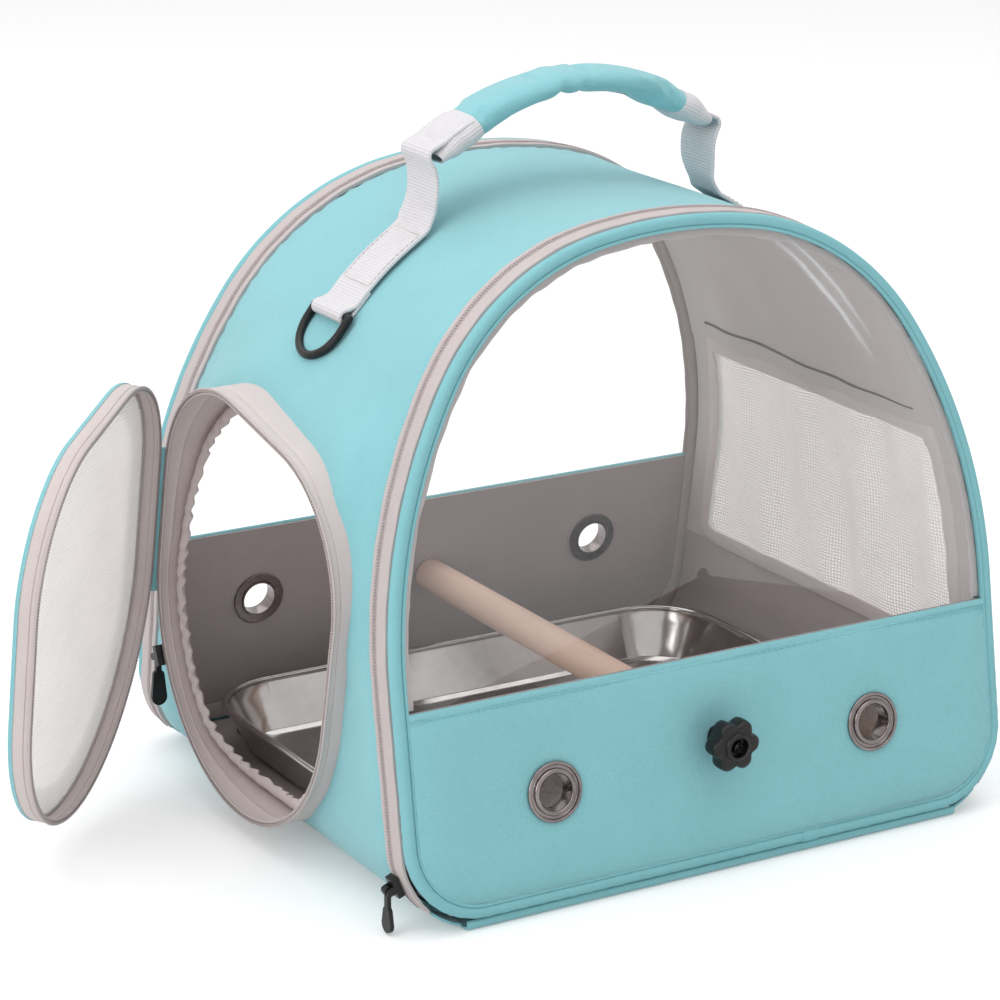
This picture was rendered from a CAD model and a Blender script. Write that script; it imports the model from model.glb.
import math

import bmesh
import bpy
import numpy as np
from mathutils import Matrix, Vector


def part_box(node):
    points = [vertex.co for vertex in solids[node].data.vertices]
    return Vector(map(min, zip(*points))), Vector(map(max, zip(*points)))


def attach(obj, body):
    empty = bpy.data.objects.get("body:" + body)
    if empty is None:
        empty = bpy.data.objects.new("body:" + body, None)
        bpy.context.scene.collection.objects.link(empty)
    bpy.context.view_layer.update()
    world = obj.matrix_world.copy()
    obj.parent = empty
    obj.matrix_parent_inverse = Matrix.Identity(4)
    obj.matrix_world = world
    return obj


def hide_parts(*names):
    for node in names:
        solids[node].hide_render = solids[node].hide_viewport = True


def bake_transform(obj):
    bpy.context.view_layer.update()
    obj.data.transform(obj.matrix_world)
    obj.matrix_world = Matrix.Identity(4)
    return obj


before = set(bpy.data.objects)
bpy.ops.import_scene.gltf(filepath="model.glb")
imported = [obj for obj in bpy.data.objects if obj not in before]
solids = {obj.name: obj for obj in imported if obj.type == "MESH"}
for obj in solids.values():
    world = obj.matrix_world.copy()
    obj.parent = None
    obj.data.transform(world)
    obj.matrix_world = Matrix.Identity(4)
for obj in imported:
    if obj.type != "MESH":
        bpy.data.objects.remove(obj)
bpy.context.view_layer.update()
scene = bpy.context.scene
scene.view_settings.view_transform = "Standard"


# Camera, floor and light.
# The carrier is seen from its front left corner, a little above, with a long lens. It stands on a
# pale sheet under one broad overhead lamp, a weaker one from the left, and a soft sky.
class Wire:
    """One socket of a material. Arithmetic on it adds Math nodes."""

    def __init__(self, paint, socket):
        self.paint, self.socket = paint, socket

    def _math(self, operation, first, second):
        return self.paint.node("ShaderNodeMath", {"operation": operation}, {0: first, 1: second})

    def __add__(self, other):
        return self._math("ADD", self, other)

    def __radd__(self, other):
        return self._math("ADD", other, self)

    def __sub__(self, other):
        return self._math("SUBTRACT", self, other)

    def __rsub__(self, other):
        return self._math("SUBTRACT", other, self)

    def __mul__(self, other):
        return self._math("MULTIPLY", self, other)

    def __rmul__(self, other):
        return self._math("MULTIPLY", other, self)

    def __pow__(self, other):
        return self._math("POWER", self, other)

    def __gt__(self, other):
        return self._math("GREATER_THAN", self, other)

    def sine(self):
        return self._math("SINE", self, 0)

    def outputs(self):
        return [Wire(self.paint, s) for s in self.socket.node.outputs]


class Paint:
    """A material or world being mixed. node() adds any node: its settings first, then its sockets."""

    def __init__(self, name, world=False):
        self.made = (bpy.data.worlds if world else bpy.data.materials).new(name)
        self.made.use_nodes = True
        self.tree = self.made.node_tree
        self.tree.nodes.clear()

    def node(self, kind, settings=None, sockets=None, out=0):
        n = self.tree.nodes.new(kind)
        for key, value in (settings or {}).items():
            if key == "stops":
                while len(n.color_ramp.elements) < len(value):
                    n.color_ramp.elements.new(1)
                for stop, (place, tint) in zip(n.color_ramp.elements, value):
                    stop.position, stop.color = place, tint
            else:
                setattr(n, key, value)
        for key, value in (sockets or {}).items():
            if isinstance(value, Wire):
                self.tree.links.new(value.socket, n.inputs[key])
            else:
                n.inputs[key].default_value = value
        return Wire(self, n.outputs[out])

    def mix(self, share, first, second):
        settings = {"data_type": "RGBA"}
        return self.node("ShaderNodeMix", settings, {0: share, 6: first, 7: second}, 2)

    def surface(self, sockets):
        return self.end(self.node("ShaderNodeBsdfPrincipled", None, sockets))

    def end(self, skin):
        world = isinstance(self.made, bpy.types.World)
        last = self.tree.nodes.new("ShaderNodeOutputWorld" if world else "ShaderNodeOutputMaterial")
        self.tree.links.new(skin.socket, last.inputs["Surface"])
        return self.made


camera = bpy.data.objects.new("camera", bpy.data.cameras.new("camera"))
camera.data.lens, camera.data.sensor_width, camera.data.clip_end = 127.5, 36, 60
camera.matrix_world = Matrix((
    (0.8624, 0.1496, -0.4836, -0.7577),
    (-0.5062, 0.2580, -0.8229, -1.2377),
    (0.0016, 0.9545, 0.2982, 0.57845),
    (0, 0, 0, 1)))
scene.collection.objects.link(camera)
scene.camera = camera

for name, place, aim, size, power in (
        ("overhead_lamp", (-0.1, 0.1, 1.7), (0, 0, 0.1), 2.6, 23.0),
        ("left_lamp", (-1.7, -0.35, 0.8), (0, 0, 0.15), 1.0, 8.0)):
    lamp = bpy.data.objects.new(name, bpy.data.lights.new(name, "AREA"))
    lamp.data.size, lamp.data.energy = size, power
    lamp.location = place
    lamp.rotation_euler = (Vector(aim) - Vector(place)).to_track_quat("-Z", "Y").to_euler()
    scene.collection.objects.link(lamp)


def white_if_seen(paint):
    """1 for what the camera, a reflection or a clear film sees, and 0 for what lights the carrier."""
    rays = paint.node("ShaderNodeLightPath").outputs()
    return (rays[0] + rays[3] + rays[6]) > 0.5


sky = Paint("sky", world=True)
strength = 0.66 + 0.34 * white_if_seen(sky)
sky.end(sky.node("ShaderNodeBackground", None, {"Color": (1, 1, 1, 1), "Strength": strength}))
scene.world = sky.made

ground = Paint("pale_floor")
ground.surface({"Base Color": (0.86, 0.86, 0.86, 1), "Roughness": 0.9, "Specular IOR Level": 0.0,
                "Emission Color": (1, 1, 1, 1), "Emission Strength": 0.24 * white_if_seen(ground)})
floor_mesh = bpy.data.meshes.new("floor")
floor_mesh.from_pydata([(-20, -20, 0), (20, -20, 0), (20, 20, 0), (-20, 20, 0)], [], [(0, 1, 2, 3)])
floor = bpy.data.objects.new("floor", floor_mesh)
floor_mesh.materials.append(ground.made)
scene.collection.objects.link(floor)


# Outer cloth of the bag.
# One length of coated polyester runs round the bag between its two zips, glued to a thin stiff
# sheet. It is turned in at both zips, where the seams pucker it, and its roof sags a little.
MM = 0.001
LEAN = math.radians(9)
HALF_WIDTH, HALF_DEPTH, CORNER, SIDE_TOP, LIFT = 145.0, 127.0, 34.0, 98.5, 4.5
# Above its straight sides the section is three arcs: each has the place of its middle across the
# bag, that middle's height over the sides' top, and a radius. They meet at these angles.
FLANK, SHOULDER, CROWN = (-71.5, 0, 216.5), (17.505, 54.757, 112), (0, -44.523, 212.81)
FLANK_END, SHOULDER_END = 31.6, 80
SHOULDER_FROM = 113.4
PANEL_SIDE_TOP = 97.27
ZIP_END = 9.0


def slab(face, back, ring=False):
    """Points, faces and thread coordinates of a sheet given by its two faces, as grids of points."""
    rows, cols = face.shape[:2]
    one = np.arange(rows * cols).reshape(rows, cols)
    two = one + rows * cols
    shut = np.concatenate([face, face[:, :1]], 1)
    across = np.linalg.norm(np.diff(shut, axis=1), axis=2).mean(0)
    u = np.concatenate([[0], np.cumsum(across)])
    v = np.concatenate([[0], np.cumsum(np.linalg.norm(np.diff(face, axis=0), axis=2).mean(1))])
    faces, threads = [], []
    for j in range(cols if ring else cols - 1):
        k = (j + 1) % cols
        for i in range(rows - 1):
            for side in (one, two):
                faces.append((side[i, j], side[i, k], side[i + 1, k], side[i + 1, j]))
                threads += [(u[j], v[i]), (u[j + 1], v[i]), (u[j + 1], v[i + 1]), (u[j], v[i + 1])]
        for i in (0, rows - 1):
            faces.append((one[i, j], one[i, k], two[i, k], two[i, j]))
            threads += [(u[j], v[i]), (u[j + 1], v[i]), (u[j + 1], v[i] + 1), (u[j], v[i] + 1)]
    if not ring:
        for j in (0, cols - 1):
            for i in range(rows - 1):
                faces.append((one[i, j], one[i + 1, j], two[i + 1, j], two[i, j]))
                threads += [(u[j], v[i]), (u[j], v[i + 1]), (u[j] + 1, v[i + 1]), (u[j] + 1, v[i])]
    return np.concatenate([face.reshape(-1, 3), back.reshape(-1, 3)]), faces, threads


def make(name, parts, paint, sharp=40):
    """One object from parts in mm, each with its points, its faces and a pair for each corner."""
    points, faces, threads, count = [], [], [], 0
    for spots, shapes, pairs in parts:
        points.append(np.asarray(spots, float))
        faces += [tuple(int(i) + count for i in shape) for shape in shapes]
        threads += list(pairs)
        count += len(spots)
    mesh = bpy.data.meshes.new(name)
    mesh.from_pydata((np.concatenate(points) * MM).tolist(), [], faces)
    layer = mesh.uv_layers.new(name="threads")
    layer.data.foreach_set("uv", np.asarray(threads, np.float32).ravel())
    if paint:
        mesh.materials.append(paint)
    piece = bpy.data.objects.new(name, mesh)
    scene.collection.objects.link(piece)
    smooth(piece, sharp)
    return piece


def smooth(piece, sharp=40):
    """Faces turned outwards and shaded smooth, with edges kept where they are sharper than that."""
    shape = bmesh.new()
    shape.from_mesh(piece.data)
    bmesh.ops.recalc_face_normals(shape, faces=shape.faces)
    shape.to_mesh(piece.data)
    shape.free()
    piece.data.polygons.foreach_set("use_smooth", [True] * len(piece.data.polygons))
    piece.data.set_sharp_from_angle(angle=math.radians(sharp))


def settle(piece):
    """The piece's mesh with its modifiers applied."""
    bpy.context.view_layer.update()
    done = piece.evaluated_get(bpy.context.evaluated_depsgraph_get())
    mesh = bpy.data.meshes.new_from_object(done)
    piece.modifiers.clear()
    piece.data = mesh


def cut(piece, *shapes):
    """Holes with clean edges through a sheet."""
    for shape in shapes:
        knife = make("knife", [shape], None)
        step = piece.modifiers.new("cut", "BOOLEAN")
        step.operation, step.solver, step.object = "DIFFERENCE", "EXACT", knife
        settle(piece)
        bpy.data.objects.remove(knife)
    smooth(piece)


def bar(first, last):
    """A solid between two outlines of as many points."""
    count = len(first)
    sides = [(i, (i + 1) % count, count + (i + 1) % count, count + i) for i in range(count)]
    faces = sides + [tuple(range(count)), tuple(range(2 * count - 1, count - 1, -1))]
    return np.concatenate([first, last]), faces, [(0, 0)] * (6 * count)


def place(piece, body, slot, *nodes):
    """The piece moves with a body, takes its finish from a slot and stands for CAD nodes."""
    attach(piece, body)
    if nodes:
        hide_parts(*nodes)
    return piece


def swell(points, size, seed):
    """Uneven soft swells, from about -1 to 1 and about size mm across."""
    dice = np.random.default_rng(seed)
    total = 0
    for _ in range(6):
        way = dice.normal(size=3)
        way *= 2 * math.pi / (size * dice.uniform(0.7, 1.5) * np.linalg.norm(way))
        total = total + np.sin(points @ way + dice.uniform(0, 2 * math.pi))
    return total / 3


def arch(side_top, step):
    """The bag's section, from the middle of its base round by the right: points, outward ways."""
    half = [(x, 0, 0, -1) for x in np.arange(0, HALF_WIDTH - CORNER, step)]
    corner = (HALF_WIDTH - CORNER, CORNER - side_top, CORNER)
    for (x, rise, radius), first, last in (
            (corner, -90, 0), (FLANK, 0, FLANK_END), (SHOULDER, FLANK_END, SHOULDER_END), (CROWN, SHOULDER_END, 90)):
        z = side_top + rise
        if first == 0:
            half += [(HALF_WIDTH, level, 1, 0) for level in np.arange(CORNER, side_top, step)]
        count = math.ceil(math.radians(last - first) * radius / step)
        for angle in np.radians(np.linspace(first, last, count + 1))[:-1]:
            way = (math.cos(angle), math.sin(angle))
            half.append((x + radius * way[0], z + radius * way[1], *way))
    half.append((0, side_top + CROWN[1] + CROWN[2], 0, 1))
    half = np.array(half)
    whole = np.concatenate([half, half[-2:0:-1] * (-1, 1, -1, 1)])
    return whole[:, :2], whole[:, 2:]


def seam_y(z, inset):
    """How far forward the front panel's seam plane stands at a height, moved in by an inset."""
    return -HALF_DEPTH + (z - LIFT) * math.tan(LEAN) + inset / math.cos(LEAN)


def across_bag(spots, y):
    """A grid of places: spots of the bag's section, each at every one of its own depths y."""
    x, z = np.broadcast_to(spots[:, 0], y.shape), np.broadcast_to(spots[:, 1], y.shape)
    return np.stack([x, y, z], 2)


def wall(depth, inset, across, step, shape=None):
    """A grid on the bag's wall: depth below its outer face, from one seam plane to the other."""
    spots, ways = arch(SIDE_TOP, step)
    spots = spots - depth * ways
    front = seam_y(spots[:, 1], inset)
    y = np.linspace(-1, 1, across)[:, None] * -front
    grid = across_bag(spots, y)
    outward = np.insert(ways, 1, 0, 1)
    if shape is not None:
        grid = grid + shape(grid, -front - abs(y))[..., None] * outward
    return grid


def wall_wear(grid, from_seam):
    """How far the cloth stands off its plain shape: puckers at the seams and a sag in the roof."""
    edge = np.exp(-from_seam / 7)
    along = grid[..., 0] + 0.9 * grid[..., 2]
    pucker = 0.35 * edge * np.sin(along * 0.72 + 2 * swell(grid, 40, 3))
    hem = -0.8 * np.exp(-from_seam / 0.9)
    middle = np.clip(1 - (grid[..., 1] / 95) ** 2, 0, 1) * np.clip((grid[..., 2] - 175) / 80, 0, 1)
    sag = 1.3 * middle + 0.25 - 0.35 * swell(grid, 90, 4) * (grid[..., 2] > 3)
    return pucker + hem - sag + pulled_out(grid)


WINDOW_LOW, WINDOW_HIGH, WINDOW_REACH, WINDOW_ROUND, WINDOW_INSET = 61.0, 157.5, 100.0, 12.0, 19.0


def window_line(grow):
    """The side window's outline, a round-cornered oblong cut off along both seams, as (y, z)."""
    radius = WINDOW_ROUND + grow
    y, z = WINDOW_REACH - WINDOW_ROUND, WINDOW_HIGH - WINDOW_ROUND
    low = WINDOW_LOW + WINDOW_ROUND
    line = []
    for middle, start in (((y, z), 0), ((-y, z), 90), ((-y, low), 180), ((y, low), 270)):
        for angle in np.radians(np.arange(start, start + 91, 10)):
            line.append((middle[0] + radius * math.cos(angle), middle[1] + radius * math.sin(angle)))
    dense = []
    for a, b in zip(line, line[1:] + line[:1]):
        count = max(1, round(math.dist(a, b) / 4))
        dense += [np.add(a, np.subtract(b, a) * i / count) for i in range(count)]
    y, z = np.array(dense).T
    reach = -seam_y(z, WINDOW_INSET - grow)
    return np.stack([np.clip(y, -reach, reach), z], 1)


# The side door's outline leans back in the wall. It is a half circle below DOOR_LOW, straight sides
# up to DOOR_HIGH, and two smaller rounds above, measured from its middle.
DOOR_TILT = math.radians(12)
DOOR_Y, DOOR_Z, DOOR_HALF, DOOR_LOW, DOOR_HIGH, DOOR_TOP_R = 2.0, 98.0, 77.0, -11.96, 34.04, 54.0
DOOR_RIM = -154.0


def door_line(step):
    """The side door's outline in its own tilted plane: points and outward ways."""
    line = []
    side = DOOR_HALF - DOOR_TOP_R
    for s, t, radius, first, last in (
            (0, DOOR_LOW, DOOR_HALF, 180, 360), (side, DOOR_HIGH, DOOR_TOP_R, 0, 90),
            (-side, DOOR_HIGH, DOOR_TOP_R, 90, 180)):
        count = math.ceil(math.radians(last - first) * radius / step)
        for angle in np.radians(np.linspace(first, last, count + 1)):
            way = (math.cos(angle), math.sin(angle))
            line.append((s + radius * way[0], t + radius * way[1], *way))
        start = np.array(line[-1])
        stop = np.array((*{360: (DOOR_HALF, DOOR_HIGH), 90: (-side, DOOR_HIGH + DOOR_TOP_R),
                           180: (-DOOR_HALF, DOOR_LOW)}[last], *way))
        count = round(math.dist(start[:2], stop[:2]) / step)
        line += [start + (stop - start) * i / count for i in range(1, count)]
    line = np.array(line)
    return line[:, :2], line[:, 2:]


def door_point(x, s, t):
    """A place given by its distance from the bag's middle and by the door's own plane."""
    x, s, t = np.broadcast_arrays(x, s, t)
    return np.stack([x, DOOR_Y + s * math.cos(DOOR_TILT) - t * math.sin(DOOR_TILT),
                     DOOR_Z + s * math.sin(DOOR_TILT) + t * math.cos(DOOR_TILT)], -1)


def pulled_out(grid):
    """How far the side door's collar pulls the wall out round the upper part of its opening."""
    y, z = grid[..., 1] - DOOR_Y, grid[..., 2] - DOOR_Z
    s = y * math.cos(DOOR_TILT) + z * math.sin(DOOR_TILT)
    t = z * math.cos(DOOR_TILT) - y * math.sin(DOOR_TILT)
    reach = np.where(t < DOOR_LOW, np.hypot(s, t - DOOR_LOW) - DOOR_HALF, np.where(
        t < DOOR_HIGH, abs(s) - DOOR_HALF,
        np.hypot(np.maximum(abs(s) - DOOR_HALF + DOOR_TOP_R, 0), t - DOOR_HIGH) - DOOR_TOP_R))
    pull = 9.5 * np.clip((grid[..., 2] - 95) / 70, 0, 1) * np.exp(-(np.maximum(reach, 0) / 21) ** 1.5)
    held = np.clip((-seam_y(grid[..., 2], 16) - abs(grid[..., 1])) / 18, 0, 1)
    return np.where(grid[..., 0] < 0, pull * held, 0)


def woven(name, lit, shaded, pitch, relief, rough=0.85, sheen=0.0, clouds=0.05):
    """Cloth with threads pitch mm apart along and across, from its coordinates in mm."""
    cloth = Paint(name)
    threads = cloth.node("ShaderNodeUVMap", {"uv_map": "threads"})
    along, across, _ = cloth.node("ShaderNodeSeparateXYZ", None, {0: threads}).outputs()
    turns = [2 * math.pi / p if p else 0 for p in pitch]
    warp, weft = ((way * turn + (0 if turn else math.pi / 2)).sine() for way, turn in zip((along, across), turns))
    over = warp * weft
    at = cloth.node("ShaderNodeTexCoord", None, None, "Object")
    cloud = cloth.node("ShaderNodeTexNoise", None, {"Vector": at, "Scale": 45.0, "Detail": 4.0})
    fuzz = cloth.node("ShaderNodeTexNoise", None, {"Vector": at, "Scale": 900.0, "Detail": 2.0})
    share = 0.5 + over * 0.22 + (cloud - 0.5) * (20 * clouds) + (fuzz - 0.5) * 0.5
    tint = cloth.mix(share, (*shaded, 1), (*lit, 1))
    height = over + (fuzz - 0.5) * 1.2
    bump = cloth.node("ShaderNodeBump", None, {"Strength": 0.6, "Distance": relief * MM, "Height": height})
    return cloth.surface({"Base Color": tint, "Roughness": rough, "Normal": bump, "Sheen Weight": sheen,
                          "Sheen Roughness": 0.4, "Specular IOR Level": 0.3})


teal_cloth = woven("teal_cloth", (0.300, 0.640, 0.690), (0.215, 0.500, 0.545), (0.75, 0.75), 0.10, sheen=0.4,
                   clouds=0.02)
SEAM_INSET = 15
parts = [slab(wall(0, SEAM_INSET, 61, 4.0, wall_wear), wall(2.7, SEAM_INSET, 61, 4.0), ring=True)]
# The zips stop above the floor, and below their ends four corner tongues of the cloth go on.
corner_spots, corner_ways = arch(SIDE_TOP, 1.5)
low = (abs(corner_spots[:, 0]) > 120.1) & (corner_spots[:, 1] < ZIP_END - 0.2)
insets = np.array([2.9, 5, 8, 11, 14.5])[:, None]
for side in (-1, 1):
    run = low & (corner_spots[:, 0] * side > 0)
    for end in (-1, 1):
        faces = []
        for depth in (0.15, 1.1):
            spots = corner_spots[run] - depth * corner_ways[run]
            faces.append(across_bag(spots, end * -seam_y(spots[:, 1], insets)))
        parts.append(slab(*faces))
bag_cloth = make("bag_cloth", parts, teal_cloth)
spots, ways = door_line(3.0)
hole = spots - 0.35 * ways
window = window_line(0)
openings = (bar(door_point(-200, *hole.T), door_point(-90, *hole.T)),
            bar(np.insert(window, 0, 90, 1), np.insert(window, 0, 200, 1)))
cut(bag_cloth, *openings)
place(bag_cloth, "shell", "teal_fabric", "outer_cover", "cover_board")


# Lining.
# Grey lining cloth covers the inside of the stiff sheet. The roof is lined in a paler cloth, which
# meets the darker one in a lapped seam above the side window and the door.
LINING_INSET = 4.2


def lining_lift(grid, folds):
    """How far the lining stands off the stiff sheet, in soft folds that both seams hold flat."""
    held = np.clip((-seam_y(grid[..., 2], LINING_INSET) - abs(grid[..., 1])) / 12, 0, 1)
    return (folds * swell(grid * (1, 1, 0.35), 34, 11) - 0.3 * folds) * held


def inside(low, high, depths, folds):
    """Lining between two heights: one sheet over the roof or round the base, or one on each side."""
    spots, ways = arch(SIDE_TOP, 4.0)
    order = np.flatnonzero((spots[:, 1] >= low) & (spots[:, 1] <= high))
    runs = np.split(order, np.flatnonzero(np.diff(order) > 1) + 1)
    if low <= 0:
        runs = [np.concatenate(runs[::-1])]
    sheets = []
    for run in runs:
        faces = []
        for depth in depths:
            bed = spots[run] - depth * ways[run]
            grid = across_bag(bed, np.linspace(-1, 1, 61)[:, None] * -seam_y(bed[:, 1], LINING_INSET))
            faces.append(grid + lining_lift(grid, folds)[..., None] * np.insert(ways[run], 1, 0, 1))
        sheets.append(slab(*faces))
    return sheets


grey_lining = woven("grey_lining", (0.580, 0.520, 0.513), (0.440, 0.392, 0.386), (0.9, 0.9), 0.06, clouds=0.02)
roof_lining = woven("roof_lining", (0.720, 0.675, 0.665), (0.600, 0.560, 0.552), (0.9, 0.9), 0.06, clouds=0.02)
ROOF_DEPTH, ROOF_FOLDS = 4.9, 1.1
for name, low, high, depths, folds, finish, nodes in (
        ("wall_lining", -5, 59, (4.1, 3.5), 0.15, grey_lining, ["inner_lining"]),
        ("side_lining", 58, 165, (4.3, 3.7), 0.2, roof_lining, []),
        ("roof_lining", 161, 300, (ROOF_DEPTH, ROOF_DEPTH - 0.6), ROOF_FOLDS, roof_lining, [])):
    cloth = make(name, inside(low, high, depths, folds), finish)
    cut(cloth, *openings)
    place(cloth, "shell", "grey_lining", *nodes)


def run_along(line):
    """How far along a line each of its points is."""
    return np.concatenate([[0], np.cumsum(np.linalg.norm(np.diff(line, axis=0), axis=1))])


def closed_skin(grid, line, ring=False):
    """A closed skin over a grid whose rows go round a line, with thread coordinates along and round."""
    rows, cols = grid.shape[:2]
    index = np.arange(rows * cols).reshape(rows, cols)
    u = run_along(np.concatenate([line, line[:1]]))
    v = run_along(np.concatenate([grid[0], grid[0, :1]]))
    faces, threads = [], []
    for i in range(rows if ring else rows - 1):
        k = (i + 1) % rows
        for j in range(cols):
            m = (j + 1) % cols
            faces.append((index[i, j], index[k, j], index[k, m], index[i, m]))
            threads += [(u[i], v[j]), (u[i + 1], v[j]), (u[i + 1], v[j + 1]), (u[i], v[j + 1])]
    if not ring:
        for end in (0, rows - 1):
            faces.append(tuple(index[end]))
            threads += [(u[end], w) for w in v[:-1]]
    return grid.reshape(-1, 3), faces, threads


def sweep(line, across, up, profile, ring=False):
    """A band or tube along a line: profile pairs are measured along the ways across and up."""
    line, across, up = np.broadcast_arrays(line, across, up)
    profile = np.broadcast_to(profile, (len(line), *np.shape(profile)[-2:]))
    grid = line[:, None] + profile[..., :1] * across[:, None] + profile[..., 1:] * up[:, None]
    return closed_skin(grid, line, ring)


def along(line, pitch):
    """Even places on a line: the line's own point before each, and how far it is to the next one."""
    run = run_along(line)
    count = int(run[-1] / pitch)
    wanted = (np.arange(count) + 0.5) * run[-1] / count
    first = np.clip(np.searchsorted(run, wanted) - 1, 0, len(run) - 2)
    return first, ((wanted - run[first]) / (run[first + 1] - run[first]))[:, None]


# Side window.
# Soft pale net is stretched in the right side, sewn in under a grey binding. It is fuller than its
# frame, so that it hangs in shallow upright folds.
def side_x(z, depth, side_top=SIDE_TOP):
    """The half width of the bag at a height, at a depth below its outer face."""
    rise = np.asarray(z, float) - side_top
    low, flank, shoulder = (
        x + np.sqrt(np.clip((radius - depth) ** 2 - (rise - middle) ** 2, 0, None)) for x, middle, radius in (
            (HALF_WIDTH - CORNER, CORNER - side_top, CORNER), FLANK, SHOULDER))
    return np.where(rise < CORNER - side_top, low, np.where(rise < 0, HALF_WIDTH - depth, np.where(
        rise < SHOULDER_FROM, flank, shoulder)))


def net(name, tint, pitch, hole, glow, ribs=0.0, slant=0.0):
    """Knitted net: open holes pitch mm apart in both directions of its coordinates, and ribs.

    The glow stands for the light that comes through its threads from behind."""
    mesh = Paint(name)
    threads = mesh.node("ShaderNodeUVMap", {"uv_map": "threads"})
    x, y, _ = mesh.node("ShaderNodeSeparateXYZ", None, {0: threads}).outputs()
    turn = 2 * math.pi / pitch
    a = (x * math.cos(slant) + y * math.sin(slant)) * turn
    b = (y * math.cos(slant) - x * math.sin(slant)) * turn
    rows, stitches = b.sine(), a.sine()
    open_part = (rows * 0.5 + stitches * 0.5) > hole
    rib = (b * 0.5).sine() * ribs
    at = mesh.node("ShaderNodeTexCoord", None, None, "Object")
    cloud = mesh.node("ShaderNodeTexNoise", None, {"Vector": at, "Scale": 30.0, "Detail": 3.0})
    dark = tuple(0.84 * c for c in tint)
    colour = mesh.mix(0.6 + (cloud - 0.5) * 0.9 + rib, (*dark, 1), (*tint, 1))
    height = rows * 0.5 + stitches * 0.5 + rib * 2
    bump = mesh.node("ShaderNodeBump", None, {"Strength": 0.7, "Distance": 0.00015, "Height": height})
    return mesh.surface({"Base Color": colour, "Roughness": 0.8, "Alpha": 0.84 - 0.62 * open_part,
                         "Normal": bump, "Specular IOR Level": 0.2, "Emission Color": colour,
                         "Emission Strength": glow})


window_net = net("window_net", (0.84, 0.79, 0.78), 1.5, 0.35, 0.2)
NET_LOW, NET_HIGH, NET_INSET = 55.5, 160.5, 15.6
z = np.linspace(NET_LOW, NET_HIGH, 46)[:, None]
y = np.linspace(-1, 1, 66)[None, :] * -seam_y(z, NET_INSET)
folds = 1.5 * np.sin(y / 7.5 + 1.4 * np.sin(z / 31) + 0.6 * np.sin(y / 21)) + 0.8 * np.sin(y / 3.9 + z / 40)
# The folds die out where the net is sewn in.
free = np.clip((z - NET_LOW) / 14, 0, 1) * np.clip((NET_HIGH - z) / 10, 0, 1)
free = free * np.clip((-seam_y(z, NET_INSET) - abs(y)) / 14, 0, 1)
faces = [np.stack(np.broadcast_arrays(side_x(z, depth) - free * (1.6 + folds), y, z), 2) for depth in (2.95, 3.2)]
side_net = make("side_net", [slab(*faces)], window_net)
place(side_net, "shell", "pale_mesh", "side_mesh")

binding_cloth = woven("binding_cloth", (0.80, 0.735, 0.725), (0.66, 0.600, 0.590), (0.8, 0.8), 0.07, clouds=0.02)
outside, within = window_line(4.0), window_line(-3.2)
middle = (outside + within) / 2
width = np.linalg.norm(outside - within, axis=1)[:, None] / 2
way = (outside - within) / (2 * width)
line = np.stack([side_x(middle[:, 1], 4.3), *middle.T], 1)
across = np.stack([0 * way[:, 0], *way.T], 1) * width
INTO_BAG = np.array([-1.0, 0, 0])
profile = np.array([(-1, 0.5), (-0.96, 1.2), (-0.5, 1.35), (0.4, 1.25), (0.9, 0.75), (1, 0.1), (0, 0.1)])
profile = profile * ((1 + 0.3 * swell(line, 17, 21))[:, None, None] * (0, 1) + (1, 0))
window_edge = make("side_net_binding", [sweep(line, across, INTO_BAG, profile, True)], binding_cloth)
place(window_edge, "shell", "grey_lining", "side_mesh_binding")

# Above the net the roof's lining is lapped over the side's, and the lap shows as a dark line.
fold_shade = woven("lining_fold", (0.230, 0.205, 0.200), (0.160, 0.142, 0.138), (0.9, 0.9), 0.06, clouds=0.02)
FOLD_FRONT, FOLD_HEIGHT = -77, 167.5
y = np.linspace(FOLD_FRONT, -seam_y(FOLD_HEIGHT + 0.5, 17), 64)
z = FOLD_HEIGHT + 1.1 * np.sin(y / 37)
line = np.stack([side_x(z, ROOF_DEPTH), y, z], 1)
line = line - lining_lift(line, ROOF_FOLDS)[:, None] * INTO_BAG
taper = np.clip((y - FOLD_FRONT) / 45, 0.3, 1)[:, None, None] * (1, 0) + (0, 1)
profile = np.array([(-0.75, -0.7), (-0.45, 0.8), (0.4, 0.7), (0.8, -0.7)]) * taper
lining_fold = make("lining_fold", [sweep(line, np.array([0, 0, 1.0]), INTO_BAG, profile)], fold_shade)
place(lining_fold, "shell", "grey_lining")


# End zips.
# A nylon zip joins each end panel to the bag: one ribbed tape is sewn to the panel's edge and the
# other to the bag, and two rows of small teeth meet between them.
zip_tape = woven("zip_tape", (0.610, 0.545, 0.536), (0.480, 0.424, 0.420), (1.1, 1.6), 0.08, clouds=0.02)
teeth_paint = Paint("zip_teeth")
at = teeth_paint.node("ShaderNodeTexCoord", None, None, "Object")
grain = teeth_paint.node("ShaderNodeTexNoise", None, {"Vector": at, "Scale": 400.0})
nylon = teeth_paint.surface({
    "Base Color": teeth_paint.mix(grain, (0.33, 0.28, 0.28, 1), (0.50, 0.43, 0.43, 1)),
    "Roughness": 0.45 + 0.2 * grain})


def rim_line(step, low):
    """The bag's edge at its front seam, from the low right corner over the roof to the left."""
    spots, ways = arch(SIDE_TOP, step)
    keep = spots[:, 1] >= low
    spots, ways = spots[keep], ways[keep]
    line = np.stack([spots[:, 0], seam_y(spots[:, 1], 0), spots[:, 1]], 1)
    out = np.stack([ways[:, 0], math.tan(LEAN) * ways[:, 1], ways[:, 1]], 1)
    return line, out


def turned(part, back):
    """The same part at the other end of the bag."""
    spots, faces, threads = part
    return (np.asarray(spots) * ((-1, -1, 1) if back else (1, 1, 1)), faces, threads)


INWARD = np.array([0, 1 / math.cos(LEAN), 0])
ENDS = ((False, "front"), (True, "back"))


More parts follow.
